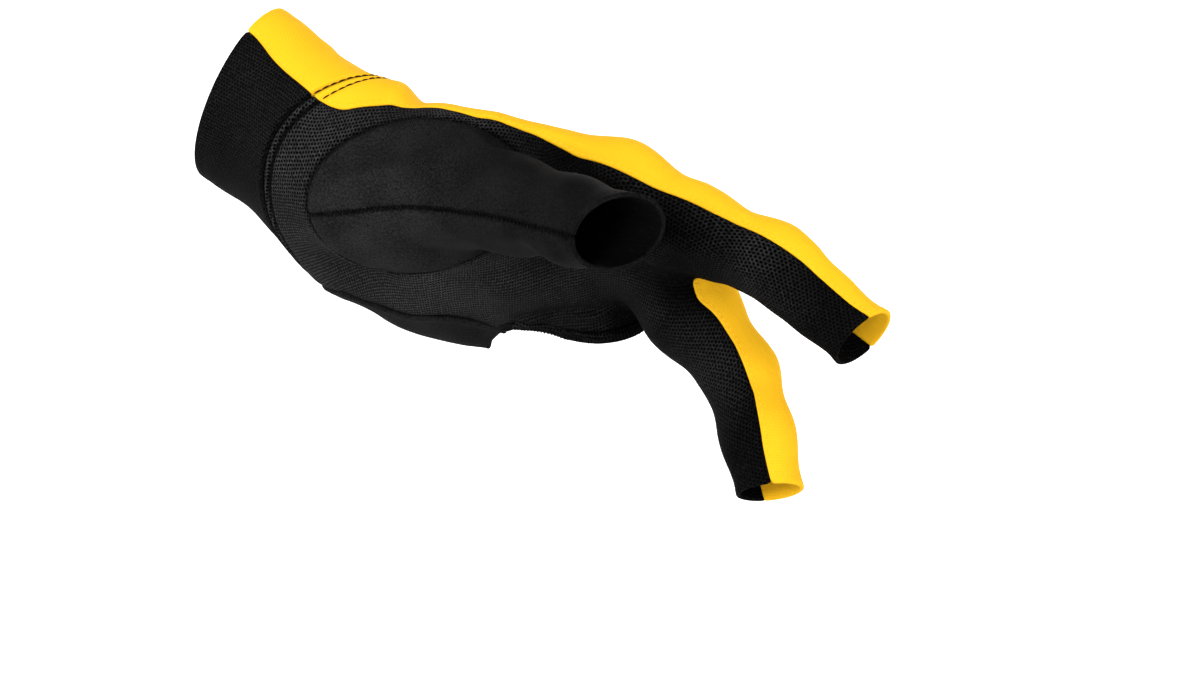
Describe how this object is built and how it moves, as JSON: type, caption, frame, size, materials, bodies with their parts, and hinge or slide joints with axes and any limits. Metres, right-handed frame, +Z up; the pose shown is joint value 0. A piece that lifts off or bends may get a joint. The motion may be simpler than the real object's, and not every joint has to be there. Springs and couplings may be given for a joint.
{
  "type": "billiard glove",
  "caption": "Open-ended cue glove for a left hand: fitted knit shell with cuff, palm, back and thumb panels, shown in its worn shape.",
  "frame": {"origin": "middle of the wrist opening, on the line the forearm takes into the glove", "axes": "+X from the wrist towards the fingertips, +Z up with the back of the hand facing up and away, -Y on the thumb side"},
  "size_m": [0.1886, 0.125, 0.1347],
  "materials": {
    "black_mesh": "open black warp-knit mesh, matt",
    "black_smooth": "smooth black stretch knit, matt with a faint sheen",
    "yellow_knit": "smooth yellow stretch knit, matt"
  },
  "bodies": {
    "root": {"cuff_front": "black_mesh", "cuff_back": "yellow_knit", "palm_panel": "black_mesh", "back_panel": "yellow_knit", "edge_strip": "black_smooth", "thumb_upper": "black_smooth", "thumb_lower": "black_smooth", "side_opening_hem": "black_mesh"}
  },
  "joints": []
}
